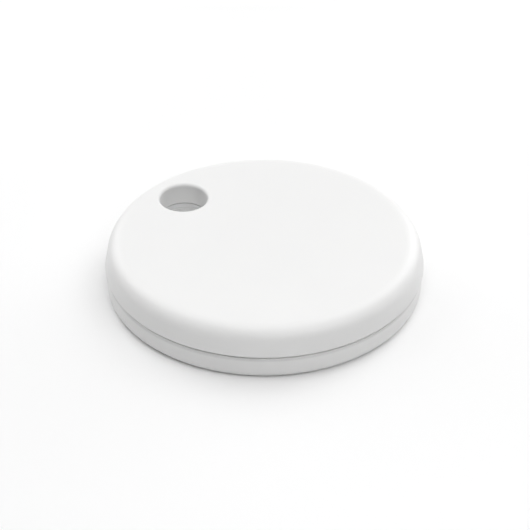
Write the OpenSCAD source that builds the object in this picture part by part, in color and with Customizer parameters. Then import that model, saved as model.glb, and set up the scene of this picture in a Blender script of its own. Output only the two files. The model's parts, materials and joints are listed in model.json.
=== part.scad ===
// Round key finder tag, a flat white case about as wide as a large coin.
// The upper cover is pressed to click a switch, and comes off at the seam for a new coin cell.
// Millimetres. +Z is up and +Y runs from the middle to the key ring hole.
// The origin lies under the middle of the case, on the surface that it rests on.

/* [Case] */
// Diameter of the upper cover
case_d = 37.9; // [37.7:0.1:38.5]
// Height of the closed case
case_h = 6.4; // [6.3:0.05:6.7]
// Angle by which the upper cover's side leans in from the seam to the top edge
side_draft = 10; // [6:0.5:11]
// How far the lower cover's side stands back from the upper cover's
lower_setback = 0.2; // [0.05:0.05:0.3]
// Height of the lower cover's outer wall
lower_h = 2.8; // [2.7:0.02:2.84]
// Gap at the seam, into which the upper cover is pressed
seam_gap = 0.28; // [0.2:0.01:0.3]
// Rounding of the upper cover's top edge
top_round = 1.9; // [1.4:0.1:2.1]
// Rounding of the lower cover's bottom edge
bottom_round = 0.9; // [0.6:0.1:1.1]
// Rounding of the two edges at the seam
seam_round = 0.12; // [0.08:0.01:0.14]
// Thickness of the upper cover's skirt
skirt_t = 1; // [0.95:0.05:1.1]
// Thickness of the roof
roof_t = 0.9; // [0.8:0.05:0.9]
// Thickness of the floor
floor_t = 0.75; // [0.6:0.05:0.75]
// Fillet between the roof and the skirt, inside
roof_fillet = 0.8; // [0.4:0.1:0.8]

/* [Seam] */
// Gap between the skirt and the rim that stands up inside it
cover_fit = 0.15; // [0.1:0.01:0.2]
// Width of the ledge that the rim seal lies on
ledge_w = 0.6; // [0.5:0.05:0.6]
// Height of that ledge
ledge_z = 3.9; // [3.85:0.01:3.95]
// Thickness of the rim above the ledge
rim_t = 0.7; // [0.6:0.05:0.8]
// Height of the rim's top
rim_z = 4.7; // [4.6:0.02:4.74]
// Thickness of the rim seal
rim_seal_d = 0.62; // [0.5:0.02:0.66]
// Height of the snap beads' middle
bead_z = 3.55; // [3.5:0.01:3.6]
// Number of snap beads round the rim
bead_count = 6; // [4:1:8]

/* [Key ring hole] */
// Diameter of the hole
hole_d = 5.8; // [5.2:0.1:5.8]
// Distance of the hole from the middle
hole_y = 13.2; // [13.1:0.05:13.3]
// Rounding of the hole's two outer rims
hole_round = 0.4; // [0.2:0.05:0.5]
// Wall of the tube that hangs from the roof round the hole
tube_t = 0.45; // [0.4:0.01:0.45]
// Height of the tube's lower end
tube_z = 3.7; // [3.68:0.01:3.8]
// Wall of the socket that the tube goes into
socket_t = 0.4; // [0.35:0.05:0.45]
// Height of the socket's floor
socket_z = 2.9; // [2.8:0.02:2.92]

/* [Press] */
// Travel of the upper cover and of the switch's plunger
press_travel = 0.12; // [0.08:0.01:0.12]

/* [Coin cell] */
// Diameter of the cell
cell_d = 20; // [19.7:0.1:20]
// Height of the cell
cell_h = 3.2; // [3.0:0.1:3.2]
// Place of the cell's middle
cell_x = -3; // [-3.2:0.1:-2.8]
// Place of the cell's middle towards the hole
cell_y = -3; // [-3.2:0.1:-2.8]

/* [Circuit board] */
// Thickness of the board
board_t = 0.6; // [0.5:0.05:0.6]
// Gap between the board's edge and the rim
board_gap = 0.6; // [0.5:0.05:0.7]

/* [Sounder] */
// Diameter of the brass plate
plate_d = 21; // [20:0.1:21]
// Diameter of the ceramic disc
ceramic_d = 17; // [16.6:0.1:17.2]
// Place of the sounder's middle towards the hole
sounder_y = -1.5; // [-1.7:0.1:-1.5]

/* [Hidden] */
$fn = 96;
// Running gap between pieces that lie against each other
lie = 0.02;

// Case
case_r = case_d / 2;
lower_r = case_r - lower_setback;
skirt_z = lower_h + seam_gap;
skirt_r = case_r - skirt_t;
roof_z = case_h - roof_t;
rim_r = skirt_r - cover_fit;
ledge_r = rim_r - ledge_w;
rim_in_r = ledge_r - rim_t;
rim_lead = 0.2;

// Upper cover's side in section: a straight line that runs into the seam's edge and the top edge
lean = [cos(side_draft), sin(side_draft)];
seam_edge = [case_r - seam_round, skirt_z + seam_round];
side_foot = seam_edge + seam_round * lean;
top_edge_z = case_h - top_round;
side_r = side_foot[0] - tan(side_draft) * (top_edge_z - side_foot[1]);
top_edge = [side_r - top_round / cos(side_draft), top_edge_z];
side_head = top_edge + top_round * lean;

// Snap beads on the rim, and the groove in the skirt that they sit in
bead_round = 0.35;
bead_clear = 0.03;
bead_angle = 12;
groove_depth = 0.2;
groove_h = 0.66;
groove_below = 0.28;
groove_z = bead_z - groove_below;

// Key ring hole
hole_r = hole_d / 2;
tube_r = hole_r + tube_t;
tube_fit = 0.1;
socket_r = tube_r + tube_fit;
collar_r = socket_r + socket_t;
hole_seal_gap = 0.05;
hole_seal_room = 0.05;
hole_seal_h = tube_z - press_travel - hole_seal_room - socket_z - lie;

// Circuit board, on four posts that stand on the floor
post_h = 0.2;
post_r = 1.1;
peg_r = 0.5;
peg_h = 0.35;
peg_fit = 0.08;
posts = [[-13.8, 3.7], [13.15, -5.86], [7.2, 12.5], [2.2, -14.2]];
board_r = rim_in_r - board_gap;
board_z = floor_t + post_h;
top_z = board_z + board_t;
notch_gap = 0.35;
notch_r = collar_r + notch_gap;

// Coin cell, in its own frame from the underside of its cap
cell_r = cell_d / 2;
cell_lift = 0.15;
cell_z = top_z + cell_lift;
can_t = 0.25;
can_lift = 0.15;
crimp_w = 1;
can_mouth = cell_r - crimp_w;
can_in_r = cell_r - can_t;
gasket_show = 0.4;
gasket_h = 1.3;
cap_r = can_mouth - gasket_show;
cap_wall_h = 1.25;
stack_gap = 0.03;
stack_side = 0.15;
stack_r = can_in_r - stack_side;
anode_r = cap_r - can_t - stack_side;
anode_z = can_t + stack_gap;
anode_h = 1.03;
separator_z = gasket_h + stack_gap;
separator_t = 0.08;
cathode_z = separator_z + separator_t + stack_gap;
cathode_h = cell_h - can_t - stack_gap - cathode_z;

// Cradle round the cell, open on the side of the contacts
cradle_gap = 0.25;
cradle_t = 0.75;
cradle_h = 2.05;
cradle_from = 120;
cradle_angle = 220;

// Spring contacts of the cell
contact_t = 0.15;
contact_w = 2.2;
contact_angles = [-8, 105];
contact_path = [[2.6, 0.08], [1, 0.08], [0.72, 0.35], [0.13, 1.75], [0.3, 2.5], [0.7, 2.9]];
bow_t = 0.08;
bow_w = 2.4;
bow_path = [[-3.2, 0.09], [-1.4, 0.045], [1.4, 0.045], [3.2, 0.09]];

// Sounder, bonded under the roof
tape_t = 0.05;
tape_w = 1.8;
plate_t = 0.1;
ceramic_t = 0.1;
plate_r = plate_d / 2;
ceramic_r = ceramic_d / 2;
plate_z = roof_z - tape_t - plate_t;
ceramic_z = plate_z - ceramic_t;
seat_gap = 0.2;
seat_t = 0.6;
seat_h = 0.3;

// Spring fingers that stand on the board and touch the sounder
finger_t = 0.12;
finger_w = 0.9;
plate_finger = [5.6, 6.2, 90];
ceramic_finger = [6.84, 1.92, 26.6];

// Push switch under the roof's rib
switch_x = 8.8;
switch_y = 7.8;
switch_w = 3.6;
switch_h = 1.2;
pocket_r = 1.55;
pocket_z = 0.55;
dome_r = 1.4;
dome_rise = 0.3;
dome_t = 0.06;
flange_r = 1.35;
flange_z = 0.95;
flange_h = 0.2;
stem_r = 0.95;
stem_fit = 0.05;
stem_top = 2.55;
stem_round = 0.15;
frame_t = 0.18;
frame_tab_w = 1.8;
frame_tab_t = 0.15;
frame_tab_z = 0.15;
rib_r = 1.2;
rib_z = top_z + stem_top + lie;

// Board parts: place, place towards the hole, turn
radio_place = [11.3, -0.4, 0];
radio_size = [5, 5, 0.85];
radio_dot_r = 0.3;
radio_dot_in = 0.7;
radio_dot_depth = 0.05;
radio_crystal_place = [11.6, 3.6, 0];
radio_crystal_size = [2, 1.6, 0.5];
clock_place = [13.07, 5.28, 112];
clock_size = [3.2, 1.5, 0.75];
tray_share = 0.6;
lid_inset = 0.15;
antenna_place = [-10.5, 8.8, 50];
antenna_size = [5.2, 2, 1];
coil_place = [9.2, -9.2, -45];
coil_size = [3, 3, 1.4];
coil_core_r = 1.15;
coil_groove = 0.2;
driver_place = [7.3, -12.3, 30];
driver_size = [2.9, 1.3, 1];
diode_place = [4, -13.1, 17];
diode_size = [1.7, 1.25, 0.9];

// Flat leads of the driver, the diode and the switch
lead_len = 0.6;
lead_t = 0.12;
driver_lead_w = 0.4;
driver_lead_x = 0.95;
diode_lead_w = 0.35;
switch_lead_w = 0.7;
switch_lead_x = 1.1;

// Small chips: capacitors and resistors, with their tinned ends
small_size = [1, 0.5, 0.5];
flat_size = [1, 0.5, 0.35];
large_size = [1.6, 0.8, 0.8];
end_share = 0.24;
capacitor_places = [
  [8, -0.9, 90], [8, 0.6, 90], [14.5, 1, 90], [14.6, -0.6, 90], [14.5, -2.2, 90],
  [10.8, -3.6, 0], [12.4, -3.6, 0], [-8.6, 7.4, 50], [-8, 9.4, 50], [1.6, 8.4, 0], [3.4, 7.8, 90]
];
large_places = [[12.6, -8, 58]];
resistor_places = [
  [11.6, 9.2, 128], [10.2, 11, 133], [4.9, 10.9, 0], [6.8, 10.9, 0], [11.3, -6.3, 0], [-3, 8.9, 20]
];

// Bare test pads on the board
pad_r = 0.45;
pad_t = 0.03;
pad_ring = 14;
pad_angles = [110, 115, 120, 125];

// Geometry shared by the pieces

// What a rounding takes off a corner at the origin, of a body to the left of it and below it
module corner_waste(r) {
  difference() {
    translate([-r, -r]) square(r + 1);
    translate([-r, -r]) circle(r = r);
  }
}

// A section with its corner of waste turned down, for a lower edge
module lower_corner_waste(r) {
  mirror([0, 1]) corner_waste(r);
}

// The flare that rounds the rim of a hole, opening upwards at the origin
module rim_flare(r, round_r) {
  translate([0, 0, -round_r]) rotate_extrude() difference() {
    square([r + round_r, round_r + 1]);
    translate([r + round_r, 0]) circle(r = round_r);
  }
}

// A flat ring that stands on the origin's plane
module ring(outer_r, inner_r, h) {
  difference() {
    cylinder(r = outer_r, h = h);
    translate([0, 0, -1]) cylinder(r = inner_r, h = h + 2);
  }
}

// A block that stands on the origin's plane, centred there
module block(size) {
  translate([0, 0, size[2] / 2]) cube(size, center = true);
}

// Puts a piece on the board at a place and a turn
module on_board(place) {
  translate([place[0], place[1], top_z]) rotate([0, 0, place[2]]) children();
}

// Puts a piece at the cell's middle, on the underside of its cap
module at_cell() {
  translate([cell_x, cell_y, cell_z]) children();
}

// Puts a piece at the switch's middle, on the board
module at_switch() {
  on_board([switch_x, switch_y, 0]) children();
}

// The outline of a bent strip of sheet metal, from the line that runs along its middle
function unit(v) = v / norm(v);
function left_of(v) = [-v[1], v[0]];
function step_in(path, i) = unit(path[max(i, 1)] - path[max(i, 1) - 1]);
function step_out(path, i) = unit(path[min(i + 1, len(path) - 1)] - path[min(i, len(path) - 2)]);
function bisector(path, i) = unit(left_of(step_in(path, i)) + left_of(step_out(path, i)));
function side(path, i) = bisector(path, i) / (bisector(path, i) * left_of(step_in(path, i)));
function strip_outline(path, t) = concat(
  [for (i = [0:len(path) - 1]) path[i] + side(path, i) * t / 2],
  [for (i = [len(path) - 1:-1:0]) path[i] - side(path, i) * t / 2]
);

// A bent strip that runs along X and stands up along Z
module strip(path, t, w) {
  translate([0, w / 2, 0]) rotate([90, 0, 0]) linear_extrude(height = w) polygon(strip_outline(path, t));
}

// Case

module upper_section() {
  difference() {
    union() {
      polygon([
        [0, skirt_z], [seam_edge[0], skirt_z], side_foot, side_head, [top_edge[0], case_h], [0, case_h]
      ]);
      translate(seam_edge) circle(r = seam_round);
      translate(top_edge) circle(r = top_round);
    }
    difference() {
      translate([-1, skirt_z - 1]) square([skirt_r + 1, roof_z - skirt_z + 1]);
      translate([skirt_r, roof_z]) corner_waste(roof_fillet);
    }
    translate([skirt_r - 1, groove_z]) square([1 + groove_depth, groove_h]);
  }
}

module lower_section() {
  difference() {
    union() {
      square([lower_r, lower_h]);
      square([rim_r, ledge_z]);
      square([ledge_r, rim_z]);
    }
    translate([lower_r, 0]) lower_corner_waste(bottom_round);
    translate([lower_r, lower_h]) corner_waste(seam_round);
    translate([ledge_r, rim_z]) corner_waste(rim_lead);
    translate([-1, floor_t]) square([rim_in_r + 1, rim_z]);
  }
}

module top_cover() {
  color("white") difference() {
    union() {
      rotate_extrude() upper_section();
      translate([0, hole_y, tube_z]) cylinder(r = tube_r, h = roof_z + roof_t / 2 - tube_z);
      translate([0, sounder_y, roof_z - seat_h])
        ring(plate_r + seat_gap + seat_t, plate_r + seat_gap, seat_h + roof_t / 2);
      translate([switch_x, switch_y, rib_z]) cylinder(r = rib_r, h = roof_z + roof_t / 2 - rib_z);
    }
    translate([0, hole_y, tube_z - 1]) cylinder(r = hole_r, h = case_h);
    translate([0, hole_y, case_h]) rim_flare(hole_r, hole_round);
  }
}

module snap_beads() {
  for (i = [0:bead_count - 1])
    rotate([0, 0, 90 + (i + 0.5) * 360 / bead_count - bead_angle / 2])
      rotate_extrude(angle = bead_angle) intersection() {
        translate([skirt_r - bead_clear - bead_round, bead_z]) circle(r = bead_round);
        translate([rim_r - bead_round / 2, bead_z - bead_round]) square(2 * bead_round);
      }
}

module bottom_cover() {
  color("white") difference() {
    union() {
      rotate_extrude() lower_section();
      translate([0, hole_y, floor_t / 2]) cylinder(r = collar_r, h = rim_z - floor_t / 2);
      snap_beads();
      for (p = posts) translate([p[0], p[1], floor_t / 2]) {
        cylinder(r = post_r, h = board_z - floor_t / 2);
        cylinder(r = peg_r, h = top_z + peg_h - floor_t / 2);
      }
    }
    translate([0, hole_y, -1]) cylinder(r = hole_r, h = case_h);
    translate([0, hole_y, socket_z]) cylinder(r = socket_r, h = case_h);
    translate([0, hole_y, 0]) mirror([0, 0, 1]) rim_flare(hole_r, hole_round);
  }
}

module rim_seal() {
  color("gainsboro") rotate_extrude()
    translate([(ledge_r + skirt_r) / 2, ledge_z + lie + rim_seal_d / 2]) circle(d = rim_seal_d);
}

module hole_seal() {
  color("gainsboro") translate([0, hole_y, socket_z + lie])
    ring(socket_r - hole_seal_gap, hole_r + 2 * hole_seal_gap, hole_seal_h);
}

// Circuit board and the parts on it

module circuit_board() {
  color("darkgreen") translate([0, 0, board_z]) difference() {
    cylinder(r = board_r, h = board_t);
    translate([0, hole_y, -1]) cylinder(r = notch_r, h = board_t + 2);
    translate([-notch_r, hole_y, -1]) cube([2 * notch_r, board_r, board_t + 2]);
    for (p = posts) translate([p[0], p[1], -1]) cylinder(r = peg_r + peg_fit, h = board_t + 2);
  }
}

module test_pads() {
  color("gold") for (a = pad_angles)
    on_board([pad_ring * cos(a), pad_ring * sin(a), 0]) cylinder(r = pad_r, h = pad_t);
}

module radio_chip() {
  corner = [-radio_size[0] / 2, radio_size[1] / 2];
  color("dimgray") on_board(radio_place) difference() {
    block(radio_size);
    translate([corner[0] + radio_dot_in, corner[1] - radio_dot_in, radio_size[2] - radio_dot_depth])
      cylinder(r = radio_dot_r, h = 1);
  }
}

// A crystal in a ceramic tray under a smaller metal lid
module crystal(size) {
  block([size[0], size[1], size[2] * tray_share]);
  block([size[0] - 2 * lid_inset, size[1] - 2 * lid_inset, size[2]]);
}

module radio_crystal() {
  color("silver") on_board(radio_crystal_place) crystal(radio_crystal_size);
}

module clock_crystal() {
  color("silver") on_board(clock_place) crystal(clock_size);
}

module chip_antenna() {
  color("lightblue") on_board(antenna_place) block(antenna_size);
}

module boost_coil() {
  color("darkslategray") on_board(coil_place) difference() {
    block(coil_size);
    translate([0, 0, coil_size[2] - coil_groove]) ring(coil_core_r + coil_groove, coil_core_r, 1);
  }
}

module sounder_driver() {
  color("black") on_board(driver_place) block(driver_size);
}

module boost_diode() {
  color("black") on_board(diode_place) block(diode_size);
}

// The middle of a small chip, between its two tinned ends
module chip_middle(size) {
  block([size[0] * (1 - 2 * end_share), size[1], size[2]]);
}

// The two tinned ends of a small chip
module chip_ends(size) {
  for (s = [-1, 1])
    translate([s * size[0] * (1 - end_share) / 2, 0, 0]) block([size[0] * end_share, size[1], size[2]]);
}

module capacitors() {
  color("tan") {
    for (p = capacitor_places) on_board(p) chip_middle(small_size);
    for (p = large_places) on_board(p) chip_middle(large_size);
  }
}

module resistors() {
  color("black") for (p = resistor_places) on_board(p) chip_middle(flat_size);
}

// A short flat lead that lies on the board, out from the origin
module lead(w) {
  translate([lead_len / 2, 0, 0]) block([lead_len, w, lead_t]);
}

module chip_terminals() {
  color("silver") {
    for (p = capacitor_places) on_board(p) chip_ends(small_size);
    for (p = large_places) on_board(p) chip_ends(large_size);
    for (p = resistor_places) on_board(p) chip_ends(flat_size);
    on_board(driver_place) {
      translate([0, driver_size[1] / 2, 0]) rotate([0, 0, 90]) lead(driver_lead_w);
      for (s = [-1, 1])
        translate([s * driver_lead_x, -driver_size[1] / 2, 0]) rotate([0, 0, -90]) lead(driver_lead_w);
    }
    on_board(diode_place) for (a = [0, 180])
      rotate([0, 0, a]) translate([diode_size[0] / 2, 0, 0]) lead(diode_lead_w);
    at_switch() for (a = [90, 270], s = [-1, 1])
      rotate([0, 0, a]) translate([switch_w / 2, s * switch_lead_x, 0]) lead(switch_lead_w);
  }
}

// Coin cell

module cell_cradle() {
  color("ivory") translate([cell_x, cell_y, top_z]) rotate([0, 0, cradle_from])
    rotate_extrude(angle = cradle_angle)
      translate([cell_r + cradle_gap, 0]) square([cradle_t, cradle_h]);
}

module cell_can() {
  color("silver") at_cell() rotate_extrude() difference() {
    translate([0, can_lift]) square([cell_r, cell_h - can_lift]);
    translate([cell_r, cell_h]) corner_waste(2 * can_t);
    translate([cell_r, can_lift]) lower_corner_waste(can_t);
    translate([-1, can_lift + can_t]) square([can_in_r + 1, cell_h - can_lift - 2 * can_t]);
    translate([-1, -1]) square([can_mouth + 1, cell_h - 1]);
  }
}

module cell_cap() {
  color("gainsboro") at_cell() rotate_extrude() difference() {
    square([cap_r, cap_wall_h]);
    translate([cap_r, 0]) lower_corner_waste(can_t);
    translate([-1, can_t]) square([cap_r - can_t + 1, cap_wall_h]);
  }
}

module cell_gasket() {
  color("dimgray") at_cell() rotate_extrude() {
    translate([cap_r + lie, can_lift]) square([can_mouth - cap_r - 2 * lie, can_t + 2 * lie]);
    translate([cap_r + lie, can_lift + can_t + lie])
      square([can_in_r - cap_r - 2 * lie, gasket_h - can_lift - can_t - lie]);
  }
}

module cell_anode() {
  color("lightgray") at_cell() translate([0, 0, anode_z]) cylinder(r = anode_r, h = anode_h);
}

module cell_separator() {
  color("white") at_cell() translate([0, 0, separator_z]) cylinder(r = stack_r, h = separator_t);
}

module cell_cathode() {
  color("black") at_cell() translate([0, 0, cathode_z]) cylinder(r = stack_r, h = cathode_h);
}

module positive_contacts() {
  color("goldenrod") for (a = contact_angles)
    on_board([cell_x + cell_r * cos(a), cell_y + cell_r * sin(a), a])
      strip(contact_path, contact_t, contact_w);
}

module negative_contact() {
  color("goldenrod") on_board([cell_x, cell_y, 45]) strip(bow_path, bow_t, bow_w);
}

// Sounder

// The middle line of a spring finger that folds back over its foot and reaches up to a height
function finger_path(h) = [
  [0.5, finger_t / 2], [2.6, finger_t / 2], [3, 0.35], [2.9, 0.9],
  [0.4, h - lie - 0.2], [0, h - lie - finger_t / 2], [-0.4, h - 0.4]
];

module plate_contact() {
  color("goldenrod") on_board(plate_finger) strip(finger_path(plate_z - top_z), finger_t, finger_w);
}

module ceramic_contact() {
  color("goldenrod") on_board(ceramic_finger) strip(finger_path(ceramic_z - top_z), finger_t, finger_w);
}

module sounder_tape() {
  color("lightyellow") translate([0, sounder_y, roof_z - tape_t]) ring(plate_r, plate_r - tape_w, tape_t);
}

module sounder_plate() {
  color("peru") translate([0, sounder_y, plate_z]) cylinder(r = plate_r, h = plate_t);
}

module sounder_ceramic() {
  color("lightgray") translate([0, sounder_y, ceramic_z]) cylinder(r = ceramic_r, h = ceramic_t);
}

// Push switch

module switch_base() {
  color("black") at_switch() difference() {
    block([switch_w, switch_w, switch_h]);
    translate([0, 0, pocket_z]) cylinder(r = pocket_r, h = switch_h);
  }
}

module switch_dome() {
  bend_r = (dome_r * dome_r + dome_rise * dome_rise) / (2 * dome_rise);
  color("silver") at_switch() translate([0, 0, pocket_z + lie]) rotate_extrude() intersection() {
    square([dome_r, dome_rise + dome_t]);
    translate([0, dome_rise - bend_r]) difference() {
      circle(r = bend_r + dome_t / 2);
      circle(r = bend_r - dome_t / 2);
    }
  }
}

module switch_plunger() {
  color("ivory") at_switch() rotate_extrude() difference() {
    translate([0, flange_z]) union() {
      square([flange_r, flange_h]);
      square([stem_r, stem_top - flange_z]);
    }
    translate([stem_r, stem_top]) corner_waste(stem_round);
  }
}

module switch_frame() {
  color("silver") at_switch() {
    translate([0, 0, switch_h]) difference() {
      block([switch_w + 2 * frame_tab_t, switch_w, frame_t]);
      translate([0, 0, -1]) cylinder(r = stem_r + stem_fit, h = frame_t + 2);
    }
    for (s = [-1, 1]) translate([s * (switch_w + frame_tab_t) / 2, 0, frame_tab_z])
      block([frame_tab_t, frame_tab_w, switch_h + frame_t - frame_tab_z]);
  }
}

top_cover();
bottom_cover();
rim_seal();
hole_seal();
circuit_board();
test_pads();
radio_chip();
radio_crystal();
clock_crystal();
chip_antenna();
boost_coil();
sounder_driver();
boost_diode();
capacitors();
resistors();
chip_terminals();
cell_cradle();
cell_can();
cell_cap();
cell_gasket();
cell_anode();
cell_separator();
cell_cathode();
positive_contacts();
negative_contact();
plate_contact();
ceramic_contact();
sounder_tape();
sounder_plate();
sounder_ceramic();
switch_base();
switch_dome();
switch_plunger();
switch_frame();
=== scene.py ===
# %% [markdown]
# # A round key finder tag
# The tag is a flat white case, about as wide as a large coin, with a hole for a key ring.
# Its upper cover is also its button, and it comes off at the seam for a new coin cell.
# The solid model gives every piece its place and size. This lesson loads it, gives each surface
# its finish, and works out the small parts on the board, which the solid model keeps plain.

# %% Load the solid model
import json
import math

import bpy
import numpy as np
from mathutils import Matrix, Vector


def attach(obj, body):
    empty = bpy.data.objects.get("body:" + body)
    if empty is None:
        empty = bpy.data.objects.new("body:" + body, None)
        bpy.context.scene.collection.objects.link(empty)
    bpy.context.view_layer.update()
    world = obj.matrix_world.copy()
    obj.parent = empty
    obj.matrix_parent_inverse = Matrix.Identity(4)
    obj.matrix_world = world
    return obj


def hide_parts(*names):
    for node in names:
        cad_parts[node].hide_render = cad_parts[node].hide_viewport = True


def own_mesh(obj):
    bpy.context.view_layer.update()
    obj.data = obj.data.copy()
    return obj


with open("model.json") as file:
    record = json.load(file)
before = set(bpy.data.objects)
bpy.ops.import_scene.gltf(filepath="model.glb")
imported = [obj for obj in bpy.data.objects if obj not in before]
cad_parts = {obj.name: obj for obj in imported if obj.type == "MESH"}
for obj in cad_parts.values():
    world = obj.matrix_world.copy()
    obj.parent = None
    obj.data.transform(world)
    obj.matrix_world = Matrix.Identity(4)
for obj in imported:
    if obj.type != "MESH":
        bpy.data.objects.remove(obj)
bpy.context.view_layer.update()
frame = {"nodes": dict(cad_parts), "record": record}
nodes = frame["nodes"]
MM = 0.001

# %% [markdown]
# ## Camera
# The picture looks down on the tag from its left front, through a long lens. A camera fitted to
# the outline, the seam and the hole stands a quarter of a metre away. The tag lies a little
# below the middle of the picture, and a small lens shift puts it there without tilting the view.

# %% Camera
PICTURE_PX = 530
FOCAL_PX = 2080
SENSOR_MM = 36
CAMERA_DISTANCE = 0.25
CAMERA_AZIMUTH = -48.4
CAMERA_ELEVATION = 35.67
MIDDLE_PX = (264.5, 281.9)


def direction(azimuth, elevation):
    """The unit vector from the tag towards an azimuth and an elevation in degrees; azimuth 0 is -Y and 90 is +X."""
    a = math.radians(azimuth)
    e = math.radians(elevation)
    return Vector((math.sin(a) * math.cos(e), -math.cos(a) * math.cos(e), math.sin(e)))


def add_object(name, data):
    """A new object at the origin, linked to the scene."""
    made = bpy.data.objects.new(name, data)
    bpy.context.scene.collection.objects.link(made)
    return made


def aim(obj, towards, distance):
    """Stands an object at a distance along a direction, facing back at the origin."""
    obj.location = towards * distance
    obj.rotation_mode = "QUATERNION"
    obj.rotation_quaternion = (-towards).to_track_quat("-Z", "Y")


camera = add_object("camera", bpy.data.cameras.new("camera"))
camera.data.sensor_width = SENSOR_MM
camera.data.lens = SENSOR_MM * FOCAL_PX / PICTURE_PX
camera.data.shift_x = 0.5 - MIDDLE_PX[0] / PICTURE_PX
camera.data.shift_y = MIDDLE_PX[1] / PICTURE_PX - 0.5
camera.data.clip_start = 0.01
aim(camera, direction(CAMERA_AZIMUTH, CAMERA_ELEVATION), CAMERA_DISTANCE)
bpy.context.scene.camera = camera
print("lens", round(camera.data.lens, 1), "mm")

# %% [markdown]
# ## Shapes from rows of points
# Every new piece is a stack of rows, and each row is a closed outline with the same number of
# points. Faces join a row to the next one, so the piece is known as soon as its rows are. The
# rows are whole arrays in millimetres: a block is an outline that shrinks as it rises, and a
# strip or a ring is one outline carried along a path.

# %% Rows, faces and meshes
def loft(rows, closed=False):
    """Joins each row of points to the next with four-cornered faces; a closed stack joins its last row to its first,
    and an open one gets a flat face at each end. Returns points, corner numbers and corner counts."""
    count, around, _ = rows.shape
    i = np.arange(count if closed else count - 1)[:, None]
    j = np.arange(around)[None, :]
    after = (j + 1) % around
    above = (i + 1) % count
    quads = np.stack([i * around + j, i * around + after, above * around + after, above * around + j], -1)
    corners = quads.ravel()
    sizes = np.full(quads.shape[0] * around, 4)
    if not closed:
        first = np.arange(around)[::-1]
        last = np.arange(around) + (count - 1) * around
        corners = np.concatenate([corners, first, last])
        sizes = np.append(sizes, [around, around])
    return rows.reshape(-1, 3), corners, sizes


def together(shapes):
    """Several shapes as one: their points in a row, with each shape's corner numbers moved up by the points before
    it."""
    counts = np.cumsum([0] + [len(s[0]) for s in shapes[:-1]])
    points = np.concatenate([s[0] for s in shapes])
    corners = np.concatenate([s[1] + n for s, n in zip(shapes, counts)])
    return points, corners, np.concatenate([s[2] for s in shapes])


def mesh_object(name, shape, unit=MM):
    """A mesh object from a shape, smooth except where faces meet at more than 40 degrees."""
    points, corners, sizes = shape
    mesh = bpy.data.meshes.new(name)
    mesh.vertices.add(len(points))
    mesh.vertices.foreach_set("co", (np.asarray(points, float) * unit).ravel())
    mesh.loops.add(len(corners))
    mesh.loops.foreach_set("vertex_index", corners.astype(np.int32))
    mesh.polygons.add(len(sizes))
    mesh.polygons.foreach_set("loop_start", (np.cumsum(sizes) - sizes).astype(np.int32))
    mesh.update(calc_edges=True)
    mesh.validate()
    mesh.shade_smooth()
    mesh.set_sharp_from_angle(angle=math.radians(40))
    return add_object(name, mesh)


# %% [markdown]
# ## Floor and light
# The tag lies on a round white table. Large soft lamps stand far off above and behind it, so the
# shadow falls softly towards the front. A few small lamps stand close by, which lets the top grow
# a little brighter towards its rim, as it does in the photograph. A white sky could light the
# scene too, but it would fill the shadow. Here it gives no light of its own, and is seen only
# by the camera, as a plain background that the table fades into, and in gloss and metal.

# %% Floor
FLOOR_R = 300
FLOOR_FADE = (80, 250)
FLOOR_DROP = 0.01
FLOOR_STEPS = 96

round_edge = np.linspace(0, math.tau, FLOOR_STEPS, endpoint=False)
floor_edge = np.stack([np.cos(round_edge), np.sin(round_edge), np.zeros(FLOOR_STEPS)], -1) * FLOOR_R
floor_edge[:, 2] = -FLOOR_DROP
floor = mesh_object("floor", (floor_edge, np.arange(FLOOR_STEPS), np.array([FLOOR_STEPS])))

# %% Lamps
FAR = dict(distance=0.8, size=0.5)
NEAR = dict(distance=0.14, size=0.08)
LAMPS = {
    "top_lamp": dict(azimuth=0, elevation=90, watts=2.06, **FAR),
    "right_back_lamp": dict(azimuth=86.6, elevation=50, watts=1.85, **FAR),
    "left_back_lamp": dict(azimuth=176.6, elevation=50, watts=1.15, **FAR),
    "right_lamp": dict(azimuth=-13, elevation=50, watts=0.45, **FAR),
    "near_right_lamp": dict(azimuth=86.6, elevation=20, watts=0.0456, **NEAR),
    "near_back_lamp": dict(azimuth=176.6, elevation=25, watts=0.038, **NEAR),
    "near_front_lamp": dict(azimuth=-48.4, elevation=45, watts=0.025, **NEAR),
    "near_side_lamp": dict(azimuth=-3.4, elevation=45, watts=0.0276, **NEAR),
    "near_left_lamp": dict(azimuth=-116, elevation=45, watts=0.0185, **NEAR),
}


def softbox(name, azimuth, elevation, distance, size, watts):
    """A square lamp that faces the tag, and that the camera doesn't see."""
    light = bpy.data.lights.new(name, "AREA")
    light.size = size
    light.energy = watts
    lamp = add_object(name, light)
    lamp.visible_camera = False
    aim(lamp, direction(azimuth, elevation), distance)
    return lamp


for lamp_name, setting in LAMPS.items():
    softbox(lamp_name, **setting)

scene = bpy.context.scene
scene.view_settings.view_transform = "Standard"
scene.world = bpy.data.worlds.new("sky")
scene.world.use_nodes = True
scene.world.node_tree.nodes["Background"].inputs["Color"].default_value = (1, 1, 1, 1)
scene.world.cycles_visibility.diffuse = False
print("lamps", len(LAMPS))

# %% [markdown]
# ## Finishes
# A finish is a Principled shader whose colour, roughness and height come from one pattern on
# Object coordinates, so it stays with its piece from every side. Three patterns serve all of
# them: the fine grain of a moulded or pressed surface, the straight lines of rolled sheet, and
# the rings of a turned or drawn disc. Each is a node group that is built once and then placed in
# every finish with its own scale.

# %% Shader helpers
def new_finish(name):
    """A material with one Principled shader, and its node tree."""
    material = bpy.data.materials.new(name)
    material.use_nodes = True
    tree = material.node_tree
    return material, tree, tree.nodes["Principled BSDF"]


def feed(tree, socket, value):
    """Gives an input socket its value: another socket is linked to it, and anything else is set on it."""
    if isinstance(value, bpy.types.NodeSocket):
        tree.links.new(value, socket)
    else:
        socket.default_value = value


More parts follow.
